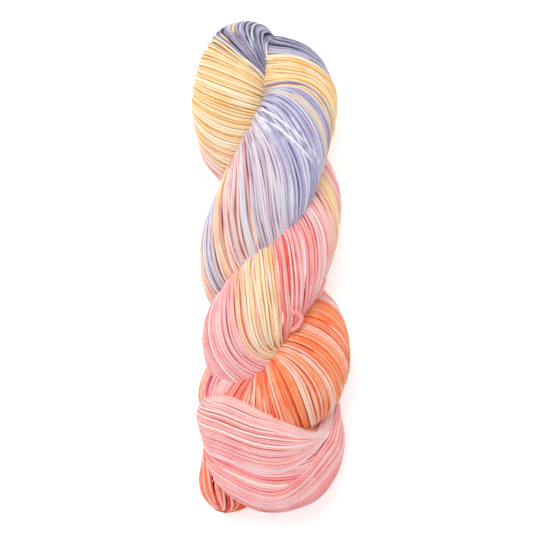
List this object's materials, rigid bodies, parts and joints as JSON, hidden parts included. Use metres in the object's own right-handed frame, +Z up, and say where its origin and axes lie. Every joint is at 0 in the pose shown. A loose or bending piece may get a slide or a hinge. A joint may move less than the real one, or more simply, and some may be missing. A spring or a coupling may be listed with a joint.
{
  "type": "hank of yarn",
  "caption": "Twisted hank of variegated dyed yarn: a wound loop folded in half and twisted on itself, one end pushed through the other, lying flat.",
  "frame": {"origin": "middle of the bounding box across and along the hank, on the plane that it lies on", "axes": "+Y along the hank towards its folded end, +Z up from the surface, +X across the hank to the right of someone who looks down with the fold away from them"},
  "size_m": [0.086, 0.2695, 0.0616],
  "materials": {
    "dyed_yarn": "matte twisted wool yarn, variegated pink, peach, orange and lavender",
    "tie_yarn": "matte twisted wool yarn, pink"
  },
  "bodies": {
    "root": {"yarn_hank": "dyed_yarn", "tie_end": "tie_yarn"}
  },
  "joints": []
}
